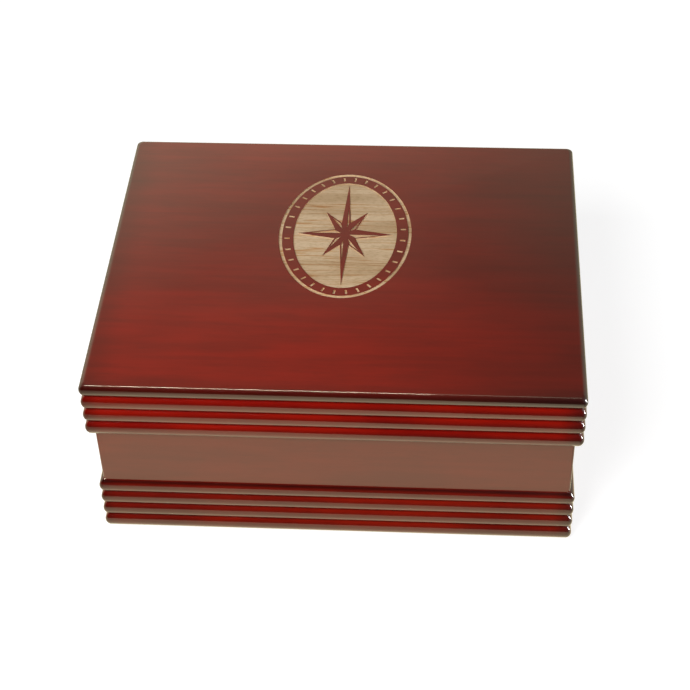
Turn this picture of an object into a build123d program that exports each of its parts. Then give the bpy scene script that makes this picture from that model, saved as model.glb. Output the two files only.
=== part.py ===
from build123d import *
import math
import os

# A hinged presentation case for a badge: a reeded, lacquered hardwood box on a moulded base, with a
# solid lid, two brass butt hinges, a velvet lining and a lift-out display pad.
# Millimetres, +Z up, origin at the centre of the footprint on the surface the case stands on.
# +X runs along the long side and the front faces -Y.

# ---- Outside ----
LID_WIDTH = 203.2           # outline of the lid along X
LID_DEPTH = 165.1           # outline of the lid along Y
WOOD_HEIGHT = 86.4          # wooden case, closed, without its felt pads
FOOT_HEIGHT = 0.8           # felt pads under the base
REED_PITCH = 7.22           # height of one reed of the mouldings
REED_DEPTH = 2.0            # from a reed's crest to the groove beside it
TOP_THICKNESS = 6.3         # lid's top panel; its edge is the lid's uppermost reed
TOP_EDGE_RUN = 2.3          # how far the rounding of the top edge runs in over the top
LID_REEDS = 3               # reeds on each rail under the top panel
BASE_REEDS = 4              # reeds on the base moulding
BASE_INSET = 1.2            # base outline, inside the lid's outline
BAND_INSET = 3.2            # plain band, inside the lid's outline; as deep as the base's grooves
CORNER_SOFTENING = 1.25     # radius sanded on the upright corners

# ---- Joinery ----
WALL_THICKNESS = 9.5
REBATE = 3.0                # let into the walls' foot for the base moulding
PARTING_GAP = 0.2           # between the closed lid and the wall tops
BOTTOM_THICKNESS = 4.0
BOTTOM_LIFT = 5.0           # bottom panel's underside above the walls' lower edge
GROOVE_DEPTH = 3.0
GROOVE_SLACK = 0.2
LIP_CLEARANCE = 0.6         # between the lining's standing lip and the lid's rails
ENGRAVING_DEPTH = 0.5

# ---- Lining and display pad ----
LINING_THICKNESS = 3.0      # velvet-covered boards inside the walls
LIP_HEIGHT = 3.4            # how far they stand above the wall tops
LIP_ROUNDING = 1.2
FLOOR_LINING = 1.0
LID_LINING_THICKNESS = 2.0
LID_LINING_START = 4.9      # lower edge of the lid's lining above the wall tops
LID_PAD_THICKNESS = 6.0
LID_PAD_ROUNDING = 2.5
LEDGER_WIDTH = 5.0          # strips that the display pad rests on
LEDGER_HEIGHT = 5.0
TRAY_HEIGHT = 36.0          # underside of the display pad's board above the surface
TRAY_BOARD = 3.0
TRAY_SLACK = 0.6            # play round the display pad
PAD_THICKNESS = 11.0
PAD_ROUNDING = 4.0
RIBBON_WIDTH = 10.0
RIBBON_THICKNESS = 0.6
RIBBON_NOTCH = 1.2          # let into the front edge of the board and pad for the ribbon
RIBBON_BEND = 1.1           # inside radius over the pad's edge; less than the pad's own rounding leaves
RIBBON_REACH = 24.0         # free end lying on the pad
RIBBON_TAIL = 15.0          # glued end under the board

# ---- Hinges ----
HINGE_SPACING = 110.0       # between the two hinges' centres
HINGE_LENGTH = 25.0
LEAF_WIDTH = 9.0
LEAF_THICKNESS = 0.8
KNUCKLE_RADIUS = 1.5
KNUCKLE_OFFSET = 1.65       # hinge axis behind the band's back face
PIN_RADIUS = 0.70
PIN_CLEARANCE = 0.05        # in the lid leaf's knuckle
MIDDLE_KNUCKLE = 9.6
KNUCKLE_GAP = 0.2
NOTCH_CLEARANCE = 0.4       # round the barrel, in the lid's overhang
SCREW_SPACING = 15.0
SCREW_HEAD_RADIUS = 1.8
SCREW_RADIUS = 1.0
SCREW_LENGTH = 9.0
SCREW_ACROSS = 4.6          # screw line, in front of the leaf's back edge
DRIVE_SLOT = (2.4, 0.5, 0.5)

# ---- Feet ----
FOOT_RADIUS = 5.0
FOOT_INSET = 8.5            # foot centre, inside the lid's outline

# ---- Heights and faces that follow ----
WOOD_BOTTOM = FOOT_HEIGHT
TOTAL_HEIGHT = FOOT_HEIGHT + WOOD_HEIGHT
LEDGE = WOOD_BOTTOM + BASE_REEDS * REED_PITCH
PANEL_BOTTOM = TOTAL_HEIGHT - TOP_THICKNESS
RAIL_BOTTOM = PANEL_BOTTOM - LID_REEDS * REED_PITCH
WALL_TOP = RAIL_BOTTOM - PARTING_GAP
INNER_INSET = BAND_INSET + WALL_THICKNESS
RAIL_INNER_INSET = INNER_INSET - LIP_CLEARANCE
FLOOR_BOTTOM = WOOD_BOTTOM + BOTTOM_LIFT
FLOOR_TOP = FLOOR_BOTTOM + BOTTOM_THICKNESS
HALF_X = LID_WIDTH / 2
HALF_Y = LID_DEPTH / 2
ROOM_X = HALF_X - INNER_INSET           # inside faces of the walls
ROOM_Y = HALF_Y - INNER_INSET
LINED_X = ROOM_X - LINING_THICKNESS     # inside faces of the lining
LINED_Y = ROOM_Y - LINING_THICKNESS
LID_ROOM_X = HALF_X - RAIL_INNER_INSET
LID_ROOM_Y = HALF_Y - RAIL_INNER_INSET
TRAY_X = LINED_X - TRAY_SLACK
TRAY_Y = LINED_Y - TRAY_SLACK
PAD_BOTTOM = TRAY_HEIGHT + TRAY_BOARD
PAD_TOP = PAD_BOTTOM + PAD_THICKNESS
BAND_BACK = HALF_Y - BAND_INSET
HINGE_Y = BAND_BACK + KNUCKLE_OFFSET
HINGE_Z = WALL_TOP + PARTING_GAP / 2
HINGE_X = {"left": -HINGE_SPACING / 2, "right": HINGE_SPACING / 2}

# Each side: half its run along the front of the piece, its distance from the centre, its turn.
SIDES = {
    "front": (HALF_X, HALF_Y, 0),
    "right": (HALF_Y, HALF_X, 90),
    "back": (HALF_X, HALF_Y, 180),
    "left": (HALF_Y, HALF_X, 270),
}


def box(low, high):
    """A block between two corners."""
    size = [b - a for a, b in zip(low, high)]
    return Pos(*low) * Box(*size, align=(Align.MIN, Align.MIN, Align.MIN))


def polygon(points):
    """A face bounded by straight lines through the points."""
    return make_face(Polyline(*points, close=True))


# ---- Mitred frames ----
def mitred_strip(side, section):
    """The section carried along one side of the case and cut at 45 degrees at both ends.

    A section's first coordinate is the inset from the lid's outline, its second the height.
    """
    run, reach, turn = SIDES[side]
    board = extrude(Plane.YZ * Pos(-reach, 0) * section, run, both=True)
    corners = [(-run, -reach), (run, -reach)]
    corners += [(run - reach, 0), (reach - run, 0)] if run > reach else [(0, run - reach)]
    return Rot(0, 0, turn) * (board & extrude(polygon(corners), TOTAL_HEIGHT))


def softened(piece, inset):
    """The piece with its upright corners rounded where it reaches out to the given inset."""
    outline = RectangleRounded(LID_WIDTH - 2 * inset, LID_DEPTH - 2 * inset, CORNER_SOFTENING)
    return piece & extrude(outline, TOTAL_HEIGHT)


def reeded_section(crest, back, bottom, reeds):
    """A strip with a flat back and a row of round reeds on its face, each one an arc."""
    groove = crest + REED_DEPTH
    top = bottom + reeds * REED_PITCH
    rows = [bottom + row * REED_PITCH for row in range(reeds)]
    arcs = [ThreePointArc((groove, z), (crest, z + REED_PITCH / 2), (groove, z + REED_PITCH)) for z in rows]
    rest = Polyline((groove, top), (back, top), (back, bottom), (groove, bottom))
    return make_face(arcs + [rest.edges()])


def wall_section():
    """A wall, rebated at its foot for the base moulding and grooved inside for the bottom panel."""
    foot = BAND_INSET + REBATE
    groove = INNER_INSET - GROOVE_DEPTH
    return polygon([
        (foot, WOOD_BOTTOM), (foot, LEDGE), (BAND_INSET, LEDGE), (BAND_INSET, WALL_TOP),
        (INNER_INSET, WALL_TOP), (INNER_INSET, FLOOR_TOP), (groove, FLOOR_TOP),
        (groove, FLOOR_BOTTOM), (INNER_INSET, FLOOR_BOTTOM), (INNER_INSET, WOOD_BOTTOM),
    ])


# ---- Hinges ----
def hinge_places(bodies):
    """Copies of what is drawn round x = 0, one at each hinge."""
    return [Pos(x, 0, 0) * body for x in HINGE_X.values() for body in bodies]


def screw_places(flip):
    """Where the screws of the leaf round x = 0 stand: heads at the leaf's open face."""
    z = HINGE_Z + PARTING_GAP / 2 if flip else HINGE_Z - PARTING_GAP / 2
    y = BAND_BACK - SCREW_ACROSS
    turn = 180 if flip else 0
    return [Pos(x, y, z) * Rot(turn, 0, 0) for x in (-SCREW_SPACING / 2, SCREW_SPACING / 2)]


def screw_blank():
    """A countersunk screw with its head's top at z = 0 and its shank downwards, without its slot."""
    head = Pos(0, 0, -LEAF_THICKNESS / 2) * Cone(SCREW_RADIUS, SCREW_HEAD_RADIUS, LEAF_THICKNESS)
    shank = Pos(0, 0, -SCREW_LENGTH / 2) * Cylinder(SCREW_RADIUS, SCREW_LENGTH)
    return head + shank


def screws(flip):
    """The screws of one leaf at each hinge, each with a cross-shaped recess for the driver."""
    bar = Pos(0, 0, -DRIVE_SLOT[2] / 2) * Box(*DRIVE_SLOT)
    screw = screw_blank() - bar - Rot(0, 0, 90) * bar
    return Compound(hinge_places([place * screw for place in screw_places(flip)]))


def leaf_blank(flip):
    """The flat of one leaf round x = 0, from its front edge to the band's back face."""
    low = HINGE_Z + PARTING_GAP / 2 if flip else HINGE_Z - PARTING_GAP / 2 - LEAF_THICKNESS
    return box((-HINGE_LENGTH / 2, BAND_BACK - LEAF_WIDTH, low),
               (HINGE_LENGTH / 2, BAND_BACK, low + LEAF_THICKNESS))


def hinge_leaf(flip):
    """One brass leaf round x = 0: the lid's has the middle knuckle, the body's the outer two."""
    inner = MIDDLE_KNUCKLE / 2
    outer = inner + KNUCKLE_GAP
    spans = [(-inner, inner)] if flip else [(-HINGE_LENGTH / 2, -outer), (outer, HINGE_LENGTH / 2)]
    bore = PIN_RADIUS + (PIN_CLEARANCE if flip else 0)
    flat = leaf_blank(flip)
    low, high = flat.bounding_box().min.Z, flat.bounding_box().max.Z
    tab_end = HINGE_Y - KNUCKLE_RADIUS + LEAF_THICKNESS / 2
    leaf = flat
    for start, end in spans:
        middle = Pos((start + end) / 2, HINGE_Y, HINGE_Z) * Rot(0, 90, 0)
        leaf += box((start, BAND_BACK - LEAF_THICKNESS, low), (end, tab_end, high))
        leaf += middle * Cylinder(KNUCKLE_RADIUS, end - start)
        leaf -= middle * Cylinder(bore, end - start)
    for place in screw_places(flip):
        leaf -= place * screw_blank()
    return leaf


def hinge_pin():
    """The pin of one hinge, round x = 0, with softened ends."""
    pin = Cylinder(PIN_RADIUS, HINGE_LENGTH)
    pin = chamfer(pin.edges().filter_by(GeomType.CIRCLE), PIN_RADIUS / 4)
    return Pos(0, HINGE_Y, HINGE_Z) * Rot(0, 90, 0) * pin


def mortised(board, flip):
    """A board with the mortises of its leaves and the pilot holes of their screws."""
    cuts = [leaf_blank(flip)] + [place * screw_blank() for place in screw_places(flip)]
    for cut in hinge_places(cuts):
        board -= cut
    return board


def barrel_notch():
    """What is cut from the lid's overhang to clear the barrel of the hinge round x = 0."""
    room = KNUCKLE_RADIUS + NOTCH_CLEARANCE
    half = HINGE_LENGTH / 2 + NOTCH_CLEARANCE
    return box((-half, BAND_BACK, RAIL_BOTTOM - 1), (half, HALF_Y + 1, HINGE_Z + room))


# ---- Engraving ----
ENGRAVING_CENTRE = (0.0, 16.5)
OVAL = (29.0, 42.0)         # half width and half height of the engraved oval
RING_LINE = 1.4             # the outer ring
TICK_OFFSET = 3.6           # middle of the tick marks, inside the oval
TICK_SIZE = (2.4, 0.9)
TICKS = 32
FIELD_OFFSET = 6.4          # edge of the cleared field, inside the oval
STAR_MARGIN = 1.8           # between the star's tips and the field's edge
SHORT_TIP = 0.62            # diagonal tips and waists, as parts of the long tips' reach
WAIST = 0.24
FACET_LINE = 0.55           # lacquer left round each cleared facet


def oval(offset):
    """The engraved oval, drawn in by an offset."""
    return Ellipse(OVAL[0] - offset, OVAL[1] - offset)


def star_corner(step):
    """A corner of the eight-pointed star: even steps are tips, odd steps the waists between them."""
    reach = WAIST if step % 2 else (SHORT_TIP if step % 4 else 1.0)
    angle = math.radians(90 - 22.5 * step)
    inset = FIELD_OFFSET + STAR_MARGIN
    return ((OVAL[0] - inset) * reach * math.cos(angle), (OVAL[1] - inset) * reach * math.sin(angle))


def inset_triangle(corners, line):
    """A triangle with each side moved in by a line's width: scaled about its incentre."""
    sides = [math.dist(corners[(k + 1) % 3], corners[(k + 2) % 3]) for k in range(3)]
    around = sum(sides)
    centre = [sum(side * corner[k] for side, corner in zip(sides, corners)) / around for k in (0, 1)]
    half = around / 2
    inradius = math.sqrt((half - sides[0]) * (half - sides[1]) * (half - sides[2]) / half)
    keep = 1 - line / inradius
    return [tuple(centre[k] + keep * (corner[k] - centre[k]) for k in (0, 1)) for corner in corners]


def tick_mark(step):
    """One mark of the ring of marks, square to the oval."""
    turn = 2 * math.pi * (step + 0.5) / TICKS
    half_width, half_height = OVAL[0] - TICK_OFFSET, OVAL[1] - TICK_OFFSET
    slope = math.degrees(math.atan2(half_width * math.sin(turn), half_height * math.cos(turn)))
    place = Pos(half_width * math.cos(turn), half_height * math.sin(turn))
    return place * Rot(0, 0, slope) * Rectangle(*TICK_SIZE)


def engraving():
    """The cutter of the lid's engraving: an eight-pointed compass star in an oval with a marked rim."""
    star = polygon([star_corner(step) for step in range(16)])
    shapes = [oval(0) - oval(RING_LINE), oval(FIELD_OFFSET) - star]
    shapes += [tick_mark(step) for step in range(TICKS)]
    for tip in range(0, 16, 2):
        facet = [(0.0, 0.0), star_corner(tip), star_corner(tip + 1)]
        shapes.append(polygon(inset_triangle(facet, FACET_LINE)))
    cuts = [extrude(shape, ENGRAVING_DEPTH + 1) for shape in shapes]
    place = Pos(*ENGRAVING_CENTRE, TOTAL_HEIGHT - ENGRAVING_DEPTH)
    return [place * cut for cut in cuts]


# ---- Lid ----
def panel_section(reach):
    """Cross-section of the top panel: rounded above its widest line, and as a reed below it."""
    widest = PANEL_BOTTOM + REED_PITCH / 2
    drop = TOTAL_HEIGHT - widest
    groove = reach - REED_DEPTH
    middle = math.sqrt(0.5)
    lower_radius = (REED_DEPTH ** 2 + (REED_PITCH / 2) ** 2) / (2 * REED_DEPTH)
    sag = REED_PITCH / 4
    quarter = reach - lower_radius + math.sqrt(lower_radius ** 2 - sag ** 2)
    upper = [
        EllipticalCenterArc((reach - TOP_EDGE_RUN, widest), TOP_EDGE_RUN, drop, start_angle=0, arc_size=90),
        EllipticalCenterArc((TOP_EDGE_RUN - reach, widest), TOP_EDGE_RUN, drop, start_angle=90, arc_size=90),
    ]
    lower = [
        ThreePointArc((groove, PANEL_BOTTOM), (quarter, widest - sag), (reach, widest)),
        ThreePointArc((-groove, PANEL_BOTTOM), (-quarter, widest - sag), (-reach, widest)),
    ]
    flats = [
        Line((TOP_EDGE_RUN - reach, TOTAL_HEIGHT), (reach - TOP_EDGE_RUN, TOTAL_HEIGHT)),
        Line((-groove, PANEL_BOTTOM), (groove, PANEL_BOTTOM)),
    ]
    return make_face(upper + lower + flats)


def lid_top_panel():
    """The solid top, with the same edge on all four sides and the engraving cut into it."""
    along_y = extrude(Plane.XZ * panel_section(HALF_X), HALF_Y, both=True)
    along_x = extrude(Plane.YZ * panel_section(HALF_Y), HALF_X, both=True)
    panel = softened(along_y & along_x, 0)
    for cut in engraving():
        panel -= cut
    return panel


def lid_rail(side):
    """One reeded rail of the lid; the back one is cut for the hinges."""
    section = reeded_section(0, RAIL_INNER_INSET, RAIL_BOTTOM, LID_REEDS)
    rail = softened(mitred_strip(side, section), 0)
    if side == "back":
        rail = mortised(rail, True)
        for notch in hinge_places([barrel_notch()]):
            rail -= notch
    return rail


def lid_lining(side):
    """A velvet-covered strip inside one rail; the side strips stand between the front and back."""
    reach, turn = SIDES[side][1:]
    inner = reach - RAIL_INNER_INSET
    half = LID_ROOM_X if side in ("front", "back") else LID_ROOM_Y - LID_LINING_THICKNESS
    low = (-half, -inner, WALL_TOP + LID_LINING_START)
    return Rot(0, 0, turn) * box(low, (half, -inner + LID_LINING_THICKNESS, PANEL_BOTTOM))


def lid_pad():
    """The padded velvet panel under the lid's top, rounded round its lower edge."""
    x, y = LID_ROOM_X - LID_LINING_THICKNESS, LID_ROOM_Y - LID_LINING_THICKNESS
    pad = box((-x, -y, PANEL_BOTTOM - LID_PAD_THICKNESS), (x, y, PANEL_BOTTOM))
    return fillet(pad.faces().sort_by(Axis.Z)[0].edges(), LID_PAD_ROUNDING)


# ---- Case ----
def case_wall(side):
    """One mitred wall; the back one is cut for the hinges."""
    wall = softened(mitred_strip(side, wall_section()), BAND_INSET)
    return mortised(wall, False) if side == "back" else wall


def base_moulding(side):
    """One reeded strip of the base, glued into the rebate at the wall's foot."""
    section = reeded_section(BASE_INSET, BAND_INSET + REBATE, WOOD_BOTTOM, BASE_REEDS)
    return softened(mitred_strip(side, section), BASE_INSET)


def bottom_panel():
    """The plywood bottom, held in the walls' grooves."""
    x, y = ROOM_X + GROOVE_DEPTH - GROOVE_SLACK, ROOM_Y + GROOVE_DEPTH - GROOVE_SLACK
    return box((-x, -y, FLOOR_BOTTOM), (x, y, FLOOR_TOP))


def floor_lining():
    """The velvet sheet on the bottom panel, between the lining boards."""
    return box((-LINED_X, -LINED_Y, FLOOR_TOP), (LINED_X, LINED_Y, FLOOR_TOP + FLOOR_LINING))


def wall_lining(side):
    """A velvet-covered board inside one wall; its rounded top stands up as the lid's locating lip."""
    reach, turn = SIDES[side][1:]
    inner = reach - INNER_INSET
    half = ROOM_X if side in ("front", "back") else ROOM_Y - LINING_THICKNESS
    board = box((-half, -inner, FLOOR_TOP), (half, -inner + LINING_THICKNESS, WALL_TOP + LIP_HEIGHT))
    lip = board.faces().sort_by(Axis.Z)[-1].edges().filter_by(Axis.X)
    return Rot(0, 0, turn) * fillet(lip, LIP_ROUNDING)


def tray_ledger(side):
    """A velvet-covered strip on the side lining that the display pad rests on."""
    ledger = box((LINED_X - LEDGER_WIDTH, -LINED_Y, TRAY_HEIGHT - LEDGER_HEIGHT), (LINED_X, LINED_Y, TRAY_HEIGHT))
    return ledger if side == "right" else mirror(ledger, Plane.YZ)


def felt_feet():
    """Four felt pads glued under the corners of the base."""
    x, y = HALF_X - FOOT_INSET, HALF_Y - FOOT_INSET
    pad = Cylinder(FOOT_RADIUS, FOOT_HEIGHT, align=(Align.CENTER, Align.CENTER, Align.MIN))
    return Compound([Pos(i * x, j * y, 0) * pad for i in (-1, 1) for j in (-1, 1)])


# ---- Display pad ----
def ribbon_room():
    """The notch in the front edge of the board and pad that the ribbon rises through."""
    half = RIBBON_WIDTH / 2 + RIBBON_NOTCH
    return box((-half, -TRAY_Y - 1, TRAY_HEIGHT - 1), (half, -TRAY_Y + RIBBON_NOTCH, PAD_TOP + 1))


def tray_board():
    """The stiff board under the display pad."""
    return box((-TRAY_X, -TRAY_Y, TRAY_HEIGHT), (TRAY_X, TRAY_Y, PAD_BOTTOM)) - ribbon_room()


def display_pad():
    """The padded velvet cushion that the badge is pinned to, rounded round its top."""
    pad = box((-TRAY_X, -TRAY_Y, PAD_BOTTOM), (TRAY_X, TRAY_Y, PAD_TOP))
    return fillet(pad.faces().sort_by(Axis.Z)[-1].edges(), PAD_ROUNDING) - ribbon_room()


def pull_ribbon():
    """The ribbon that lifts the pad: glued under its board, up its front edge and over its top."""
    face = -TRAY_Y + RIBBON_NOTCH
    under, over = TRAY_HEIGHT, PAD_TOP
    turn = RIBBON_BEND
    inside = Polyline((face + RIBBON_TAIL, under), (face, under), (face, over - turn)).edges()
    inside += Line((face + turn, over), (face + RIBBON_REACH, over)).edges()
    bend = math.sqrt(0.5)
    around = face + turn, over - turn
    outer = turn + RIBBON_THICKNESS
    skin = [
        ThreePointArc((face, over - turn), (around[0] - turn * bend, around[1] + turn * bend), (face + turn, over)),
        Line((face + RIBBON_REACH, over), (face + RIBBON_REACH, over + RIBBON_THICKNESS)),
        Line((face + RIBBON_REACH, over + RIBBON_THICKNESS), (face + turn, over + RIBBON_THICKNESS)),
        ThreePointArc((face + turn, over + RIBBON_THICKNESS),
                      (around[0] - outer * bend, around[1] + outer * bend),
                      (face - RIBBON_THICKNESS, over - turn)),
        Polyline((face - RIBBON_THICKNESS, over - turn), (face - RIBBON_THICKNESS, under - RIBBON_THICKNESS),
                 (face + RIBBON_TAIL, under - RIBBON_THICKNESS), (face + RIBBON_TAIL, under)),
    ]
    edges = list(inside) + [edge for part in skin for edge in part.edges()]
    return extrude(Plane.YZ * make_face(edges), RIBBON_WIDTH / 2, both=True)


# ---- Every piece under its own name ----
pieces = {
    "lid_top_panel": lid_top_panel(),
    "lid_pad": lid_pad(),
    "hinge_lid_screws": screws(True),
    "bottom_panel": bottom_panel(),
    "floor_lining": floor_lining(),
    "hinge_body_screws": screws(False),
    "felt_feet": felt_feet(),
    "tray_board": tray_board(),
    "display_pad": display_pad(),
    "pull_ribbon": pull_ribbon(),
}
for side in SIDES:
    pieces[f"lid_rail_{side}"] = lid_rail(side)
    pieces[f"lid_lining_{side}"] = lid_lining(side)
    pieces[f"case_wall_{side}"] = case_wall(side)
    pieces[f"base_moulding_{side}"] = base_moulding(side)
    pieces[f"wall_lining_{side}"] = wall_lining(side)
for side, x in HINGE_X.items():
    pieces[f"tray_ledger_{side}"] = tray_ledger(side)
    pieces[f"hinge_lid_leaf_{side}"] = Pos(x, 0, 0) * hinge_leaf(True)
    pieces[f"hinge_body_leaf_{side}"] = Pos(x, 0, 0) * hinge_leaf(False)
    pieces[f"hinge_pin_{side}"] = Pos(x, 0, 0) * hinge_pin()

os.makedirs("parts", exist_ok=True)
for name, piece in pieces.items():
    export_step(piece, f"parts/{name}.step")
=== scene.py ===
"""A presentation case for a badge: reeded hardwood under dark red gloss lacquer, with a hinged solid lid,
a velvet lining and a padded display pad that lifts out."""

from math import pi, radians, sqrt

import bmesh
import bpy
import numpy as np
from mathutils import Matrix, Vector


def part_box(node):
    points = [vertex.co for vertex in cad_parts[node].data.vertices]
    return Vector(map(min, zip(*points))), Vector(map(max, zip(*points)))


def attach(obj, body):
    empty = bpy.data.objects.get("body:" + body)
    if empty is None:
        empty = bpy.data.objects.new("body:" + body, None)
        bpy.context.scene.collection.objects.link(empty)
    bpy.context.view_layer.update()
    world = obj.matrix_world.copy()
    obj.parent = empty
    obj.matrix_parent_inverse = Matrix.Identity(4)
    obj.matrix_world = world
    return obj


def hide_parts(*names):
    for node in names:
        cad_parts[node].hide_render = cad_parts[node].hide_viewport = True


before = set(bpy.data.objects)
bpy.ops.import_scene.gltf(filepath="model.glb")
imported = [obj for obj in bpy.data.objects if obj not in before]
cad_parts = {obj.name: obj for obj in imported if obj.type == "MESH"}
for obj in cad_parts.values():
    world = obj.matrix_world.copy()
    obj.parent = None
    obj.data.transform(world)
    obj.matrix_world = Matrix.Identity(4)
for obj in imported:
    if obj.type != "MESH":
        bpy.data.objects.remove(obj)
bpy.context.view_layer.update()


# ---- Camera ----
# A long lens looks down at the case from a standing height, a little right of its middle.
def placed(name, data):
    """A new object that holds a mesh, a lamp or a camera, linked to the scene."""
    made = bpy.data.objects.new(name, data)
    bpy.context.scene.collection.objects.link(made)
    return made


eye = Vector((0.04406, -0.5537, 0.5630))
turned_left, looking_down, leaning = radians(4.579), radians(43.506), radians(-1.781)
camera_data = bpy.data.cameras.new("camera")
camera_data.sensor_width = 36.0
camera_data.lens = 88.48
camera = placed("camera", camera_data)
camera.matrix_world = (
    Matrix.Translation(eye)
    @ Matrix.Rotation(turned_left, 4, "Z")
    @ Matrix.Rotation(pi / 2 - looking_down, 4, "X")
    @ Matrix.Rotation(leaning, 4, "Z")
)
bpy.context.scene.camera = camera
bpy.context.scene.view_settings.view_transform = "Standard"


# ---- Studio ----
# Narrow strips hang above the case and stand to its right, and only the lacquer's reflections show them.
# Soft boxes to the front left and the right light the colours. The room reads as white to the camera.
def soft_box(name, place, aim, along, width, height, radiance):
    """A rectangular lamp that faces a point, its width along the given direction as far as it can be.

    Its power is pi times its area times its radiance.
    """
    data = bpy.data.lights.new(name, "AREA")
    data.shape = "RECTANGLE"
    data.size, data.size_y = width, height
    data.energy = pi * width * height * radiance
    lamp = placed(name, data)
    back = (Vector(place) - Vector(aim)).normalized()
    upright = back.cross(Vector(along)).normalized()
    turned = Matrix((upright.cross(back), upright, back)).transposed()
    lamp.matrix_world = Matrix.Translation(place) @ turned.to_4x4()
    return lamp


ALONG_X, ALONG_Y = (1, 0, 0), (0, 1, 0)
WARM_WHITE = (1.0, 0.92, 0.68)
CASE_MIDDLE = (0.0, 0.0, 0.05)
overhead = soft_box("overhead_light", (-0.25, -0.02, 0.95), (-0.1, -0.05, 0.06), ALONG_X, 0.60, 0.035, 88.0)
overhead_end = soft_box("overhead_end", (0.22, -0.02, 0.95), (0.1, -0.05, 0.06), ALONG_X, 0.34, 0.035, 10.0)
overhead.data.color = overhead_end.data.color = WARM_WHITE
right_edge = soft_box("right_edge", (0.75, -0.12, 0.27), (0.0, 0.0, 0.20), ALONG_Y, 0.08, 0.52, 110.0)
for strip in (overhead, overhead_end, right_edge):
    strip.visible_diffuse = False
right_light = soft_box("right_light", (0.85, -0.10, 0.46), CASE_MIDDLE, ALONG_Y, 0.34, 0.60, 2.6)
front_light = soft_box("front_light", (-0.37, -0.71, 0.85), CASE_MIDDLE, ALONG_X, 0.50, 0.50, 14.0)
right_light.visible_glossy = front_light.visible_glossy = False

def mapped(tree, value, low, high, to_low, to_high, soft=True):
    """The value stretched from one range to another, with soft ends or straight to them."""
    node = tree.nodes.new("ShaderNodeMapRange")
    if soft:
        node.interpolation_type = "SMOOTHSTEP"
    for socket, number in zip((1, 2, 3, 4), (low, high, to_low, to_high)):
        node.inputs[socket].default_value = number
    tree.links.new(value, node.inputs[0])
    return node.outputs[0]


def worked_out(tree, operation, *values):
    """The result of one step of arithmetic on sockets or numbers."""
    node = tree.nodes.new("ShaderNodeMath")
    node.operation = operation
    for socket, value in zip(node.inputs, values):
        if isinstance(value, float):
            socket.default_value = value
        else:
            tree.links.new(value, socket)
    return node.outputs[0]


def between(tree, factor, first, second):
    """The colour between two colours at a factor."""
    node = tree.nodes.new("ShaderNodeMix")
    node.data_type = "RGBA"
    node.inputs["A"].default_value, node.inputs["B"].default_value = (*first, 1), (*second, 1)
    tree.links.new(factor, node.inputs["Factor"])
    return node.outputs["Result"]


WHITE = (1.0, 1.0, 1.0)

# The room's light, by direction: a white sweep behind fades upwards, to the front and to the right.
# Reflections see it warm, other rays see it dimmed, and the camera sees plain white.
world = bpy.data.worlds.new("studio")
world.use_nodes = True
sky = world.node_tree
sky.nodes.clear()
split = sky.nodes.new("ShaderNodeSeparateXYZ")
sky.links.new(sky.nodes.new("ShaderNodeTexCoord").outputs["Generated"], split.inputs[0])
sweep_top = mapped(sky, split.outputs["Z"], 0.565, 0.72, 1.07, 0.17)
behind = mapped(sky, split.outputs["Y"], -0.15, 0.25, 0.0, 1.0)
across = mapped(sky, split.outputs["X"], -0.19, 0.02, 1.0, 0.48, soft=False)
sweep = worked_out(sky, "MULTIPLY", worked_out(sky, "MULTIPLY", sweep_top, behind), across)
room = worked_out(sky, "MULTIPLY_ADD", sweep, 0.98, 0.02)
rays = sky.nodes.new("ShaderNodeLightPath").outputs
dim = worked_out(sky, "MULTIPLY_ADD", rays["Is Glossy Ray"], 0.91, 0.25)
strength = worked_out(sky, "MAXIMUM", worked_out(sky, "MULTIPLY", room, dim), rays["Is Camera Ray"])
sky_light = sky.nodes.new("ShaderNodeBackground")
sky.links.new(between(sky, rays["Is Glossy Ray"], WHITE, (1.05, 1.0, 0.72)), sky_light.inputs["Color"])
sky.links.new(strength, sky_light.inputs["Strength"])
sky.links.new(sky_light.outputs[0], sky.nodes.new("ShaderNodeOutputWorld").inputs["Surface"])
bpy.context.scene.world = world

# The floor is matt white board that ends a little in front of the case. It glows for the camera, which lifts
# it to white but leaves its shadow, and in reflections, more before and behind the case than at its sides.
FLOOR_REACH = 9.0
floor_mesh = bpy.data.meshes.new("floor")
front_edge = [(-FLOOR_REACH, -3.0, 0.0), (-0.55, -1.5, 0.0), (0.07, -0.27, 0.0), (0.30, -0.21, 0.0),
              (FLOOR_REACH, -0.21, 0.0)]
outline = front_edge + [(FLOOR_REACH, FLOOR_REACH, 0.0), (-FLOOR_REACH, FLOOR_REACH, 0.0)]
floor_mesh.from_pydata(outline, [], [list(range(len(outline)))])
floor = placed("floor", floor_mesh)
floor_paint = bpy.data.materials.new("floor_white")
floor_paint.use_nodes = True
paint = floor_paint.node_tree
paint.nodes.clear()
spot = paint.nodes.new("ShaderNodeTexCoord").outputs["Object"]
rays = paint.nodes.new("ShaderNodeLightPath").outputs
away = paint.nodes.new("ShaderNodeVectorMath")
away.operation = "LENGTH"
paint.links.new(spot, away.inputs[0])
spread = paint.nodes.new("ShaderNodeSeparateXYZ")
paint.links.new(spot, spread.inputs[0])
clean = mapped(paint, away.outputs["Value"], 0.12, 0.60, 0.83, 1.0)
to_camera = worked_out(paint, "MULTIPLY", clean, rays["Is Camera Ray"])
dark_side = mapped(paint, worked_out(paint, "ABSOLUTE", spread.outputs["X"]), 0.104, 0.150, 1.30, 0.45)
lift = worked_out(paint, "MULTIPLY_ADD", rays["Is Glossy Ray"], dark_side, to_camera)
glow = paint.nodes.new("ShaderNodeEmission")
paint.links.new(lift, glow.inputs["Strength"])
paint.links.new(between(paint, rays["Is Glossy Ray"], WHITE, (0.95, 0.85, 0.55)), glow.inputs["Color"])
board = paint.nodes.new("ShaderNodeBsdfDiffuse")
cream = between(paint, rays["Is Glossy Ray"], (0.42, 0.42, 0.42), (0.44, 0.39, 0.27))
paint.links.new(cream, board.inputs["Color"])
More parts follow.
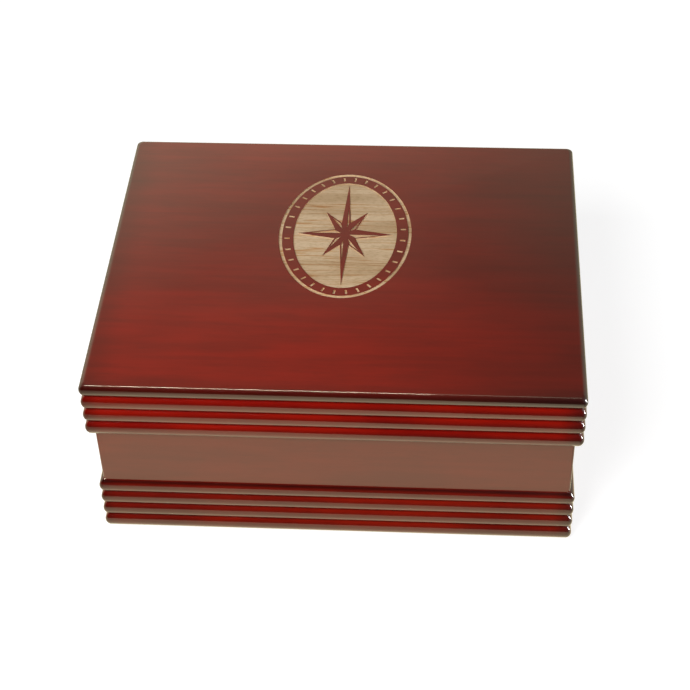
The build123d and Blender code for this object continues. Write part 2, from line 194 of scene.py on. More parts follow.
both = paint.nodes.new("ShaderNodeAddShader")
paint.links.new(board.outputs[0], both.inputs[0])
paint.links.new(glow.outputs[0], both.inputs[1])
paint.links.new(both.outputs[0], paint.nodes.new("ShaderNodeOutputMaterial").inputs["Surface"])
floor_mesh.materials.append(floor_paint)


# ---- Base moulding ----
# Four hardwood strips with four round reeds each, mitred at the corners and glued round the foot of the
# walls. Stained dark red and sprayed with clear gloss lacquer. The stain is darker in the grooves between the
# reeds, partly pooled stain and partly painted shade, darker below each reed's crest as painted shade, and
# darkest at the top where the strip meets the band.
def new_material(name):
    """A material, its tree, its Principled shader and its Object coordinates."""
    made = bpy.data.materials.new(name)
    made.use_nodes = True
    tree = made.node_tree
    return made, tree, tree.nodes["Principled BSDF"], tree.nodes.new("ShaderNodeTexCoord").outputs["Object"]


def stretched_noise(tree, place, scale, detail, rough=0.5, shift=(0, 0, 0)):
    """Noise on a place, its scale along each axis in features per metre."""
    spread = tree.nodes.new("ShaderNodeMapping")
    spread.inputs["Scale"].default_value = scale
    spread.inputs["Location"].default_value = shift
    tree.links.new(place, spread.inputs["Vector"])
    noise = tree.nodes.new("ShaderNodeTexNoise")
    noise.inputs["Scale"].default_value = 1.0
    noise.inputs["Detail"].default_value = detail
    noise.inputs["Roughness"].default_value = rough
    tree.links.new(spread.outputs[0], noise.inputs["Vector"])
    return noise.outputs["Fac"]


def roughen(tree, normal, height, strength, distance):
    """Bends a shader's normal by a height, given in shares of a distance."""
    bump = tree.nodes.new("ShaderNodeBump")
    bump.inputs["Strength"].default_value = strength
    bump.inputs["Distance"].default_value = distance
    tree.links.new(height, bump.inputs["Height"])
    tree.links.new(bump.outputs[0], normal)


def lacquered_wood(name, along, red, dark, seed=0.0, shaded=(), figure=(0.92, 1.07)):
    """Stained hardwood under clear gloss lacquer, its grain along the given axis ("X" or "Y").

    The stain runs from dark to red by a broad streaked noise. Fine streaks, between the two shares of
    figure, and short pores thin and deepen it, and it is darkest where the surface's "groove" attribute
    is 1; that attribute carries painted shade, and stain pooled in the grooves. Each row of shaded,
    (axis, from, to, share at the first, share at the second), scales it by a soft ramp along that axis,
    mostly darker toward an edge. The lacquer is a clear coat over it, very slightly wavy.
    """
    made, tree, shader, place = new_material(name)

    def streaks(scale_along, scale_across, detail, rough):
        """Noise stretched along the grain."""
        scale = [scale_along if axis == along else scale_across for axis in "XYZ"]
        return stretched_noise(tree, place, scale, detail, rough, (seed, 2 * seed, 3 * seed))

    tone = between(tree, mapped(tree, streaks(16, 48, 4, 0.55), 0.36, 0.64, 0.0, 1.0), dark, red)
    fine = mapped(tree, streaks(22, 340, 4, 0.6), 0.25, 0.75, *figure)
    pores = mapped(tree, streaks(110, 2100, 2, 0.5), 0.28, 0.40, 0.86, 1.0)
    # The "groove" attribute darkens the stain: painted shade, with stain pooled in the grooves.
    groove = tree.nodes.new("ShaderNodeAttribute")
    groove.attribute_name = "groove"
    pooled_stain_and_shade = mapped(tree, groove.outputs["Fac"], 0.0, 1.0, 1.0, 0.22)
    depth = worked_out(tree, "MULTIPLY", worked_out(tree, "MULTIPLY", fine, pores), pooled_stain_and_shade)
    ends = tree.nodes.new("ShaderNodeSeparateXYZ")
    tree.links.new(place, ends.inputs[0])
    for axis, *spray in shaded:
        depth = worked_out(tree, "MULTIPLY", depth, mapped(tree, ends.outputs[axis], *spray))
    stain = tree.nodes.new("ShaderNodeVectorMath")
    stain.operation = "SCALE"
    tree.links.new(tone, stain.inputs[0])
    tree.links.new(depth, stain.inputs["Scale"])
    tree.links.new(stain.outputs[0], shader.inputs["Base Color"])
    shader.inputs["Roughness"].default_value = 0.5
    shader.inputs["Specular IOR Level"].default_value = 0.15
    shader.inputs["Coat Weight"].default_value = 1.0
    shader.inputs["Coat Roughness"].default_value = 0.05
    shader.inputs["Coat IOR"].default_value = 1.5
    roughen(tree, shader.inputs["Coat Normal"], streaks(55, 130, 2, 0.5), 0.05, 0.0004)
    return made


# The foot's stain is a darker copy of the rails' red: painted shade standing for the shade under the lid's
# overhang.
SHADED_FOOT_RED, SHADED_FOOT_MAROON = (0.262, 0.0085, 0.0020), (0.166, 0.0046, 0.0015)
ENDS_X = (("X", -0.1010, -0.0930, 0.55, 1.0), ("X", 0.0900, 0.1000, 1.0, 0.40))
ENDS_Y = (("Y", -0.0820, -0.0740, 0.55, 1.0), ("Y", 0.0740, 0.0820, 1.0, 0.55))
foot_x = lacquered_wood("lacquered_foot_along_x", "X", SHADED_FOOT_RED, SHADED_FOOT_MAROON, shaded=ENDS_X)
foot_y = lacquered_wood("lacquered_foot_along_y", "Y", SHADED_FOOT_RED, SHADED_FOOT_MAROON, seed=3.1, shaded=ENDS_Y)

half_x, half_y = list(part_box("lid_top_panel")[1])[:2]
SIDES = {"front": 0, "right": 1, "back": 2, "left": 3}


def grid_quads(rows, columns, rows_close=False, columns_close=False):
    """Quads over a grid of points. A direction that closes runs on to its first row or column again."""
    down, along = np.arange(rows - 1 + rows_close), np.arange(columns - 1 + columns_close)
    u, v = np.meshgrid(down, along, indexing="ij")
    here, ahead, after = u * columns, (u + 1) % rows * columns, (v + 1) % columns
    return np.stack([here + v, ahead + v, ahead + after, here + after], axis=-1).reshape(-1, 4)


def mitred_strip(name, side, section, grain_x, grain_y):
    """A frame's strip: the section carried along one side of the case, between its two mitres.

    The section is a closed loop of (inset, height, corner radius, groove) rows; groove is the share of
    painted shade and pooled stain. At each end a point runs round a quarter of the corner's turn:
    centre + radius * (cos a, sin a), where the centre lies inset + radius in from both sides, and the
    mitre is the plane at half of the turn.
    """
    inset, height, radius, groove = np.array(section, float).T
    turn = SIDES[side]
    run, reach = (half_x, half_y) if turn % 2 == 0 else (half_y, half_x)
    bend = np.radians(np.linspace(-135, -90, 6))[:, None]
    centre_x, centre_y = run - inset - radius, -(reach - inset - radius)
    start = np.stack([-centre_x + radius * np.cos(bend), centre_y + radius * np.sin(bend),
                      height + 0 * bend], axis=-1)
    end = start[::-1] * (-1, 1, 1)
    points = np.concatenate([start, end])
    cos_turn, sin_turn = (1, 0, -1, 0)[turn], (0, 1, 0, -1)[turn]
    x, y = points[..., 0].copy(), points[..., 1].copy()
    points[..., 0], points[..., 1] = cos_turn * x - sin_turn * y, sin_turn * x + cos_turn * y
    rows, columns = points.shape[:2]
    quads = grid_quads(rows, columns, columns_close=True)
    last = (rows - 1) * columns
    caps = [list(range(columns)), list(range(last + columns - 1, last - 1, -1))]
    mesh = bpy.data.meshes.new(name)
    mesh.from_pydata(points.reshape(-1, 3).tolist(), [], quads.tolist() + caps)
    mesh.attributes.new("groove", "FLOAT", "POINT").data.foreach_set("value", np.tile(groove, rows))
    mesh.materials.append(grain_x if turn % 2 == 0 else grain_y)
    mesh.shade_smooth()
    mesh.set_sharp_from_angle(angle=SHARP_ANGLE)
    return placed(name, mesh)


REED_DEPTH = 0.0020
CREST_CORNER, GROOVE_CORNER, BACK_CORNER = 0.0020, 0.0006, 0.00004
# Below each reed's crest the stain is darkened as painted shade, where the reed faces down from the light.
PAINTED_SHADE_FADE_START, PAINTED_SHADE_FADE_RUN, CREST_PAINTED_SHADE, GROOVE_STAIN_AND_SHADE = 0.0036, 0.0028, 0.66, 0.4
JOINT_DEPTH, JOINT_BLUR = 0.0013, 0.0004
SHARP_ANGLE = radians(38)


def reeded_section(crest, back, bottom, top, reeds, joint=0.0, steps=14):
    """A flat-backed strip with round reeds on its face, from the bottom up and then down the back.

    Each reed is darkened below its crest by painted shade, smoothstep((fade start - s) / fade run), so it
    is darker below its crest than above it; the groove below it is darkened by stain pooled there together
    with painted shade; and the darkening is full over the depth joint below the top, where the strip meets
    the band.

    One reed is a circular arc: at the distance s from its middle it stands out by
    sqrt(r * r - s * s) - (r - depth), where r passes the arc through the two grooves beside it.
    """
    half_pitch = (top - bottom) / reeds / 2
    arc_radius = (REED_DEPTH**2 + half_pitch**2) / (2 * REED_DEPTH)
    s = np.tile(np.linspace(-half_pitch, half_pitch, steps + 1)[:-1], reeds)
    middle = bottom + half_pitch * (1 + 2 * np.repeat(np.arange(reeds), steps))
    share = 1 - (np.sqrt(arc_radius**2 - s**2) - (arc_radius - REED_DEPTH)) / REED_DEPTH
    corner = CREST_CORNER + share * (GROOVE_CORNER - CREST_CORNER)
    under = np.clip((PAINTED_SHADE_FADE_START - s) / PAINTED_SHADE_FADE_RUN, 0, 1)
    # Stain pooled in the groove below each reed, together with painted groove shade.
    pooled_stain_and_shade = np.where(s < 0, GROOVE_STAIN_AND_SHADE * share**8, 0)
    # Painted shade below the crest.
    pooled_stain_and_shade = np.maximum(pooled_stain_and_shade, CREST_PAINTED_SHADE * under * under * (3 - 2 * under))
    pooled_stain_and_shade = np.maximum(pooled_stain_and_shade, np.clip((middle + s - top + joint) / JOINT_BLUR, 0, 1))
    face = np.stack([crest + share * REED_DEPTH, middle + s, corner, pooled_stain_and_shade], axis=-1).tolist()
    groove = crest + REED_DEPTH
    flats = [(groove, top, GROOVE_CORNER, GROOVE_STAIN_AND_SHADE), (back, top, BACK_CORNER, GROOVE_STAIN_AND_SHADE),
             (back, bottom, BACK_CORNER, GROOVE_STAIN_AND_SHADE)]
    return face + flats


for side in SIDES:
    low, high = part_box("base_moulding_front")
    section = reeded_section(half_y + low.y, half_y + high.y, low.z, high.z, reeds=4,
                             joint=JOINT_DEPTH)
    strip = mitred_strip(f"base_moulding_{side}_dressed", side, section, foot_x, foot_y)
    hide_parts(f"base_moulding_{side}")
    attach(strip, "case")


# ---- Case walls ----
# Four mitred hardwood boards; the plain band between the mouldings is their outer face. They are rebated at
# the foot for the base moulding, grooved inside for the bottom, and stained and lacquered with the rest.
BAND_RED, BAND_BROWN = (0.172, 0.0104, 0.0037), (0.140, 0.0085, 0.0034)
band_x = lacquered_wood("lacquered_band_along_x", "X", BAND_RED, BAND_BROWN, seed=7.7)
band_y = lacquered_wood("lacquered_band_along_y", "Y", BAND_RED, BAND_BROWN, seed=9.2)


def dress(node, material):
    """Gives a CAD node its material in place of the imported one."""
    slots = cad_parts[node].data.materials
    slots.clear()
    slots.append(material)


for side, turn in SIDES.items():
    dress(f"case_wall_{side}", band_y if turn % 2 else band_x)


# ---- Bottom panel ----
# Birch plywood held in the walls' grooves, sanded and left bare underneath.
def plain_wood(name, pale, dark, across, rough=0.75):
    """Bare wood with its grain along X: long streaks from pale to dark, and fine fibres in the bump."""
    made, tree, shader, place = new_material(name)
    bands = tree.nodes.new("ShaderNodeValToRGB")
    bands.color_ramp.elements[0].position, bands.color_ramp.elements[1].position = 0.36, 0.60
    bands.color_ramp.elements[0].color, bands.color_ramp.elements[1].color = (*dark, 1), (*pale, 1)
    tree.links.new(stretched_noise(tree, place, (across / 24, across, across), 5), bands.inputs["Fac"])
    tree.links.new(bands.outputs[0], shader.inputs["Base Color"])
    shader.inputs["Roughness"].default_value = rough
    shader.inputs["Specular IOR Level"].default_value = 0.25
    roughen(tree, shader.inputs["Normal"], stretched_noise(tree, place, (60, 1500, 1500), 3), 0.35, 0.0002)
    return made


dress("bottom_panel", plain_wood("birch_plywood", (0.58, 0.42, 0.26), (0.42, 0.28, 0.155), 60))


# ---- Felt feet ----
# Four discs of pressed wool felt, cut with a punch and glued under the corners of the base.
def cloth_pile(name, colour, sheen, fine, depth):
    """A fabric with a short pile: a dark base under a pale sheen, mottled and roughened by fine noise."""
    made, tree, shader, place = new_material(name)
    shade = mapped(tree, stretched_noise(tree, place, (38, 38, 38), 4), 0.3, 0.7, 0.55, 1.45, soft=False)
    nap = tree.nodes.new("ShaderNodeVectorMath")
    nap.operation = "SCALE"
    nap.inputs[0].default_value = colour
    tree.links.new(shade, nap.inputs["Scale"])
    tree.links.new(nap.outputs[0], shader.inputs["Base Color"])
    shader.inputs["Roughness"].default_value = 0.95
    shader.inputs["Specular IOR Level"].default_value = 0.1
    shader.inputs["Sheen Weight"].default_value = sheen
    shader.inputs["Sheen Roughness"].default_value = 0.35
    shader.inputs["Sheen Tint"].default_value = (0.8, 0.82, 0.9, 1)
    roughen(tree, shader.inputs["Normal"], stretched_noise(tree, place, (fine, fine, fine), 3), 0.6, depth)
    return made


felt = cloth_pile("pressed_felt", (0.030, 0.030, 0.032), 0.3, 2400, 0.0003)


def felt_discs(name, centres, radius, thickness, rounding=0.00025):
    """Round pads in one mesh: a profile of (distance from the centre, height) turned through 48 steps."""
    turn = np.linspace(0, 2 * pi, 48, endpoint=False)[None, :, None]
    reach = np.array([0, radius - rounding, radius, radius, radius - rounding, 0])[:, None]
    height = np.array([0, 0, rounding, thickness - rounding, thickness, thickness])[:, None]
    ring = np.concatenate([reach[..., None] * np.cos(turn), reach[..., None] * np.sin(turn),
                           height[..., None] + 0 * turn], axis=-1)
    shape = bmesh.new()
    rows, columns = ring.shape[:2]
    quads = grid_quads(rows, columns, columns_close=True)[:, [0, 3, 2, 1]]
    points = np.concatenate([ring.reshape(-1, 3) + (*centre, 0) for centre in centres])
    faces = np.concatenate([quads + k * rows * columns for k in range(len(centres))])
    mesh = bpy.data.meshes.new(name)
    mesh.from_pydata(points.tolist(), [], faces.tolist())
    shape.from_mesh(mesh)
    bmesh.ops.remove_doubles(shape, verts=shape.verts, dist=1e-6)
    bmesh.ops.recalc_face_normals(shape, faces=shape.faces)
    shape.to_mesh(mesh)
    shape.free()
    mesh.shade_smooth()
    mesh.set_sharp_from_angle(angle=radians(50))
    return placed(name, mesh)


PAD_INSET, PAD_RADIUS = 0.0085, 0.0050
pad_x, pad_y = half_x - PAD_INSET, half_y - PAD_INSET
feet = felt_discs("felt_feet_dressed", [(i * pad_x, j * pad_y) for i in (-1, 1) for j in (-1, 1)],
                  PAD_RADIUS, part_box("felt_feet")[1].z)
feet.data.materials.append(felt)
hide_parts("felt_feet")
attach(feet, "case")


# ---- Linings ----
# Thin boards wrapped in black velvet and pressed into the case: four inside the walls, whose rounded tops
# stand up as the lip that locates the lid, one card on the bottom, and two ledgers for the display pad.
velvet = cloth_pile("black_velvet", (0.0075, 0.0075, 0.0090), 0.55, 1700, 0.0005)


def wrapped_board(name, low, high, rounding, spacing=0.006):
    """A board wrapped in cloth: a box whose skin is drawn to an even distance from a smaller box.

    Every point p of the box's skin has a nearest point q in the box drawn in by the rounding r, and
    moves to q + r * (p - q) / |p - q|, which rounds the edges and corners and leaves the flats.
    """
    low, high = np.array(low, float), np.array(high, float)
    rounding = min(rounding, 0.49 * (high - low).min())
    turn = rounding * (1 - np.cos(np.linspace(0, pi / 2, 6)[:-1]))
    stations = []
    for start, end in zip(low, high):
        count = max(2, int((end - start) / spacing) + 1)
        flat = np.linspace(start + rounding, end - rounding, count)
        stations.append(np.concatenate([start + turn, flat, (end - turn)[::-1]]))
    points, faces, used = [], [], 0
    for axis in range(3):
        one, two = (axis + 1) % 3, (axis + 2) % 3
        a, b = np.meshgrid(stations[one], stations[two], indexing="ij")
        for level in (low[axis], high[axis]):
            skin = np.empty((*a.shape, 3))
            skin[..., one], skin[..., two], skin[..., axis] = a, b, level
            quads = grid_quads(*a.shape)
            faces.append((quads if level == high[axis] else quads[:, ::-1]) + used)
            points.append(skin.reshape(-1, 3))
            used += a.size
    points = np.concatenate(points)
    core = np.clip(points, low + rounding, high - rounding)
    outward = points - core
    points = core + rounding * outward / np.linalg.norm(outward, axis=1, keepdims=True)
    mesh = bpy.data.meshes.new(name)
    mesh.from_pydata(points.tolist(), [], np.concatenate(faces).tolist())
    shape = bmesh.new()
    shape.from_mesh(mesh)
    bmesh.ops.remove_doubles(shape, verts=shape.verts, dist=2e-6)
    shape.to_mesh(mesh)
    shape.free()
    mesh.shade_smooth()
    return placed(name, mesh)


def velvet_piece(node, body, rounding):
    """A velvet-wrapped board in the place of one CAD node."""
    low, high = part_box(node)
    piece = wrapped_board(f"{node}_velvet", low, high, rounding)
    piece.data.materials.append(velvet)
    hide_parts(node)
    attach(piece, body)
    return piece


for side in SIDES:
    velvet_piece(f"wall_lining_{side}", "case", 0.0012)
velvet_piece("floor_lining", "case", 0.0004)
for side in ("left", "right"):
    velvet_piece(f"tray_ledger_{side}", "case", 0.0010)


# ---- Display pad ----
# A foam cushion in velvet on a stiff board faced with black paper, crowned between its edges. The badge is
# pinned to it, and the whole pad lifts out.
dress("tray_board", plain_wood("black_board", (0.026, 0.025, 0.025), (0.016, 0.016, 0.017), 220, rough=0.85))


FOAM_VOXEL, FOAM_ROUNDING, GLUED_DEPTH, SKIN_GAP = 0.0030, 0.0035, 0.0022, 0.0002
FOAM_PRESSURE, SWELL_FRAMES = 4.0, 20


def cushion(name, node, glued, shrink, cap):
    """A foam pad in velvet: a rounded block, remeshed, swollen by a cloth simulation and smoothed.

    glued is +1 or -1 for the face, up or down, that stays flat on its board. No point moves further
    than cap. At the end the pad is scaled to fill the box of its CAD solid.
    """
    low, high = (np.array(corner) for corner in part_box(node))
    inner_low, inner_high = low + shrink, high - shrink
    (inner_high if glued > 0 else inner_low)[2] = (high if glued > 0 else low)[2]
    pad = wrapped_board(name, inner_low, inner_high, FOAM_ROUNDING)
    remesh = pad.modifiers.new("remesh", "REMESH")
    remesh.mode = "VOXEL"
    remesh.voxel_size = FOAM_VOXEL
    graph = bpy.context.evaluated_depsgraph_get()
    pad.data = bpy.data.meshes.new_from_object(pad.evaluated_get(graph))
    pad.modifiers.clear()
    count = len(pad.data.vertices)
    rest = np.empty(count * 3)
    pad.data.vertices.foreach_get("co", rest)
    rest = rest.reshape(-1, 3)
    face = high[2] if glued > 0 else low[2]
    held = np.flatnonzero(np.abs(rest[:, 2] - face) < GLUED_DEPTH)
    pins = pad.vertex_groups.new(name="glued")
    pins.add(held.tolist(), 1.0, "REPLACE")
    cloth = pad.modifiers.new("cloth", "CLOTH")
    cloth.settings.use_pressure = True
    cloth.settings.uniform_pressure_force = FOAM_PRESSURE
    cloth.settings.vertex_group_mass = "glued"
    cloth.settings.effector_weights.gravity = 0.0
    cloth.point_cache.frame_start, cloth.point_cache.frame_end = 1, SWELL_FRAMES
    for step in range(1, SWELL_FRAMES + 1):
        bpy.context.scene.frame_set(step)
    graph = bpy.context.evaluated_depsgraph_get()
    swollen = np.empty(count * 3)
    pad.evaluated_get(graph).data.vertices.foreach_get("co", swollen)
    pad.modifiers.clear()
    bpy.context.scene.frame_set(1)
    move = swollen.reshape(-1, 3) - rest
    length = np.linalg.norm(move, axis=1, keepdims=True)
    rest = rest + move * np.minimum(1, cap / np.maximum(length, 1e-9))
    side_low, side_high = low + SKIN_GAP, high - SKIN_GAP
    rest[:, :2] = np.clip(rest[:, :2], side_low[:2], side_high[:2])
    rest[:, 2] = np.minimum(rest[:, 2], high[2]) if glued > 0 else np.maximum(rest[:, 2], low[2])
    pad.data.vertices.foreach_set("co", rest.ravel())
    smooth = pad.modifiers.new("even", "SMOOTH")
    smooth.iterations = 3
    finer = pad.modifiers.new("finer", "SUBSURF")
    finer.levels = finer.render_levels = 1
    graph = bpy.context.evaluated_depsgraph_get()
    pad.data = bpy.data.meshes.new_from_object(pad.evaluated_get(graph))
    pad.modifiers.clear()
    final = np.empty(len(pad.data.vertices) * 3)
    pad.data.vertices.foreach_get("co", final)
    final = final.reshape(-1, 3)
    edge_low, edge_high = low + (SKIN_GAP, SKIN_GAP, 0), high - (SKIN_GAP, SKIN_GAP, 0)
    share = (final - final.min(axis=0)) / np.ptp(final, axis=0)
    pad.data.vertices.foreach_set("co", (edge_low + share * (edge_high - edge_low)).ravel())
    pad.data.shade_smooth()
    pad.data.materials.clear()
    pad.data.materials.append(velvet)
    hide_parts(node)
    return pad


display_pad = cushion("display_pad_velvet", "display_pad", glued=-1, shrink=0.0006, cap=0.0016)
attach(display_pad, "display_tray")


# ---- Pull ribbon ----
# Black grosgrain ribbon, glued under the board, led up a notch in its front edge and drawn over the pad,
# where its free end lies to be pulled.
RIBBON_THICKNESS, RIBBON_TAIL, RIBBON_NOTCH, BOARD_THICKNESS = 0.0005, 0.0150, 0.0012, 0.0030
RIBBON_WIDTH, RIBBON_LENGTH, RIB_PITCH, END_LENGTH, END_LIFT = 0.010, 0.050, 0.0007, 0.0070, 0.0009
ribbon_low, ribbon_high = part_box("pull_ribbon")
board_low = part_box("tray_board")[0]
notch_y = board_low.y + RIBBON_NOTCH

# The pad gives way to the ribbon: its front is pressed in at the notch, and the press fades to both sides.
pad_points = np.empty(len(display_pad.data.vertices) * 3)
display_pad.data.vertices.foreach_get("co", pad_points)
pad_points = pad_points.reshape(-1, 3)
aside = np.clip((np.abs(pad_points[:, 0]) - ribbon_high.x - 0.0006) / 0.0030, 0, 1)
pressed = np.maximum(pad_points[:, 1], notch_y + 0.0001)
pad_points[:, 1] = pressed + aside * aside * (3 - 2 * aside) * (pad_points[:, 1] - pressed)
display_pad.data.vertices.foreach_set("co", pad_points.ravel())


def taut_line(points, gap, steps=720, spacing=0.0004):
    """The line (y, z) of a ribbon drawn tight round points, from under them by the front to the top.

    For the angle t, from straight down to straight up and a hair past both, it touches the point that
    lies furthest in the direction (cos t, sin t), and stands off from it by the gap in that direction.
    """
    t = np.linspace(1.5 * pi + 0.001, 0.5 * pi - 0.001, steps)
    out = np.stack([np.cos(t), np.sin(t)], axis=1)
    line = points[np.argmax(out @ points.T, axis=1)] + gap * out
    far = np.concatenate([[0], np.cumsum(np.linalg.norm(np.diff(line, axis=0), axis=1))])
    even = np.arange(0, far[-1], spacing)
    return np.stack([np.interp(even, far, line[:, 0]), np.interp(even, far, line[:, 1])], axis=1), even


def ribbon_sheet(name, columns=9):
    """The ribbon's middle surface: its line carried across its width, the free end's lift growing as the
    square of the distance along the end. The UV map holds metres across and along."""
    near = pad_points[np.abs(pad_points[:, 0]) < ribbon_high.x + 0.0006][:, 1:]
    board_corners = [(notch_y + RIBBON_TAIL, board_low.z), (notch_y, board_low.z),
                     (notch_y, board_low.z + BOARD_THICKNESS)]
    line, far = taut_line(np.concatenate([board_corners, near]), RIBBON_THICKNESS / 2 + 0.00005)
    kept = line[:, 0] < ribbon_high.y
    line, far = line[kept], far[kept]
    line[:, 1] += END_LIFT * (np.clip(far - far[-1] + END_LENGTH, 0, None) / END_LENGTH) ** 2
    x = np.linspace(ribbon_low.x, ribbon_high.x, columns)
    rows = len(line)
    points = np.stack([np.tile(x, rows), np.repeat(line[:, 0], columns),
                       np.repeat(line[:, 1], columns)], axis=1)
    quads = grid_quads(rows, columns)[:, [0, 3, 2, 1]]
    mesh = bpy.data.meshes.new(name)
    mesh.from_pydata(points.tolist(), [], quads.tolist())
    corner = np.empty(len(mesh.loops), dtype=np.int32)
    mesh.loops.foreach_get("vertex_index", corner)
    flat = np.stack([np.tile(x, rows), np.repeat(far, columns)], axis=1)
    mesh.uv_layers.new(name="cloth").data.foreach_set("uv", flat[corner].ravel())
    mesh.shade_smooth()
    cloth = placed(name, mesh)
    thick = cloth.modifiers.new("thickness", "SOLIDIFY")
    thick.thickness, thick.offset = RIBBON_THICKNESS, 0.0
    return cloth


def grosgrain(name):
    """Ribbed ribbon: a fine black pile with a wave across it at the rib pitch, by the UV map."""
    made = cloth_pile(name, (0.012, 0.012, 0.014), 0.25, 1600, 0.0001)
    tree = made.node_tree
    flat = tree.nodes.new("ShaderNodeUVMap")
    flat.uv_map = "cloth"
    ribs = tree.nodes.new("ShaderNodeTexWave")
    ribs.bands_direction = "Y"
    ribs.inputs["Scale"].default_value = 2 * pi / 20 / RIB_PITCH
    tree.links.new(flat.outputs[0], ribs.inputs["Vector"])
    roughen(tree, tree.nodes["Principled BSDF"].inputs["Normal"], ribs.outputs["Fac"], 0.7, 0.0002)
    return made


ribbon = ribbon_sheet("pull_ribbon_grosgrain")
ribbon.data.materials.append(grosgrain("black_grosgrain"))
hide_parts("pull_ribbon")
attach(ribbon, "display_tray")


# ---- Hinges ----
# Two small butt hinges of drawn brass, let into the back wall's top and the lid's back rail. The knuckles
# turn on a plain pin, and countersunk brass screws hold the leaves.
def polished_brass(name, rough_low, rough_high):
    """Brass with fine rub marks: roughness from stretched noise, and a warm tint that drifts a little."""
    made, tree, shader, place = new_material(name)
    rub = stretched_noise(tree, place, (700, 9000, 9000), 3)
    tint = tree.nodes.new("ShaderNodeValToRGB")
    tint.color_ramp.elements[0].color = (0.74, 0.52, 0.21, 1)
    tint.color_ramp.elements[1].color = (0.84, 0.62, 0.29, 1)
    tree.links.new(rub, tint.inputs["Fac"])
    tree.links.new(tint.outputs[0], shader.inputs["Base Color"])
    dull = mapped(tree, rub, 0.3, 0.7, rough_low, rough_high, soft=False)
    tree.links.new(dull, shader.inputs["Roughness"])
    shader.inputs["Metallic"].default_value = 1.0
    return made


brass = polished_brass("hinge_brass", 0.22, 0.32)
screw_brass = polished_brass("screw_brass", 0.28, 0.42)
for side in ("left", "right"):
    for node in ("hinge_body_leaf", "hinge_lid_leaf", "hinge_pin"):
        dress(f"{node}_{side}", brass)
dress("hinge_body_screws", screw_brass)
dress("hinge_lid_screws", screw_brass)


# ---- Lid rails ----
# Four mitred hardwood strips with three round reeds each, glued under the top panel. The back one is
# notched for the hinge barrels and let in for their leaves.
def cut_away(piece, cutter):
    """Subtracts a closed cutter from a piece. The cut faces take the cutter's material."""
    subtract = piece.modifiers.new("cut", "BOOLEAN")
    subtract.operation = "DIFFERENCE"
    subtract.solver = "EXACT"
    subtract.use_self = True
    subtract.material_mode = "TRANSFER"
    subtract.object = cutter
    graph = bpy.context.evaluated_depsgraph_get()
    piece.data = bpy.data.meshes.new_from_object(piece.evaluated_get(graph))
    piece.modifiers.clear()
    bpy.data.objects.remove(cutter)
    piece.data.shade_smooth()
    piece.data.set_sharp_from_angle(angle=SHARP_ANGLE)


def blocks(name, spans, material):
    """Plain blocks between pairs of corners, in one mesh, to cut with."""
    corner = np.array([(0, 0, 0), (1, 0, 0), (1, 1, 0), (0, 1, 0),
                       (0, 0, 1), (1, 0, 1), (1, 1, 1), (0, 1, 1)])
    skin = np.array([(0, 3, 2, 1), (4, 5, 6, 7), (0, 1, 5, 4), (1, 2, 6, 5), (2, 3, 7, 6), (3, 0, 4, 7)])
    points = np.concatenate([np.array(low) + corner * (np.array(high) - low) for low, high in spans])
    faces = np.concatenate([skin + 8 * k for k in range(len(spans))])
    mesh = bpy.data.meshes.new(name)
    mesh.from_pydata(points.tolist(), [], faces.tolist())
    mesh.materials.append(material)
    return placed(name, mesh)


RED, MAROON = (0.335, 0.0062, 0.0010), (0.235, 0.0028, 0.0008)
lacquer_x = lacquered_wood("lacquered_rail_along_x", "X", RED, MAROON, seed=1.4, shaded=ENDS_X)
lacquer_y = lacquered_wood("lacquered_rail_along_y", "Y", RED, MAROON, seed=4.6, shaded=ENDS_Y)
BARREL_ROOM, LEAF_WIDTH, LEAF_THICKNESS = 0.0004, 0.0090, 0.0008
for side in SIDES:
    low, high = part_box("lid_rail_front")
    # Its reeds take the same painted shade below their crests and in their grooves as the base moulding's.
    section = reeded_section(half_y + low.y, half_y + high.y, low.z, high.z, reeds=3)
    strip = mitred_strip(f"lid_rail_{side}_dressed", side, section, lacquer_x, lacquer_y)
    if side == "back":
        spans = []
        for hinge in ("left", "right"):
            leaf_low, leaf_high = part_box(f"hinge_lid_leaf_{hinge}")
            band_back = leaf_low.y + LEAF_WIDTH
            spans.append(((leaf_low.x - BARREL_ROOM, band_back, low.z - 0.001),
                          (leaf_high.x + BARREL_ROOM, half_y + 0.001, leaf_high.z + BARREL_ROOM)))
            spans.append(((leaf_low.x, leaf_low.y, low.z - 0.001),
                          (leaf_high.x, band_back + 0.0001, low.z + LEAF_THICKNESS)))
        cut_away(strip, blocks("hinge_cuts", spans, lacquer_x))
    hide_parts(f"lid_rail_{side}")
    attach(strip, "lid")


# ---- Top panel ----
# One wide hardwood board, its edge rounded over and worked into a fourth reed, finished with the rest, with
# painted shade on the edge below its flat top.
# A compass star in an oval is engraved through the lacquer into the pale wood.
TOP_RED, TOP_MAROON = (0.290, 0.0080, 0.0018), (0.238, 0.0070, 0.0016)
# By these ramps the top's stain is darker toward its right-hand end, at its left and front edges and a little
# in front of the middle, and lighter again at the rear.
TOP_TONE_RAMPS = (("X", -0.104, -0.086, 0.62, 1.0), ("X", 0.0, 0.115, 1.0, 0.45),
             ("Y", -0.040, -0.005, 1.0, 0.76), ("Y", 0.045, 0.080, 1.0, 1.20),
             ("Y", -0.0815, -0.0720, 0.72, 1.0))
# EDGE_PAINTED_SHADE darkens the panel's edge below its flat top: painted shade.
TOP_EDGE_RUN, EDGE_PAINTED_SHADE, TOP_FIGURE = 0.0023, 0.86, (0.87, 1.10)
low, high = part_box("lid_top_panel")
reed_half = (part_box("lid_rail_front")[1].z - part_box("lid_rail_front")[0].z) / 6
widest = low.z + reed_half


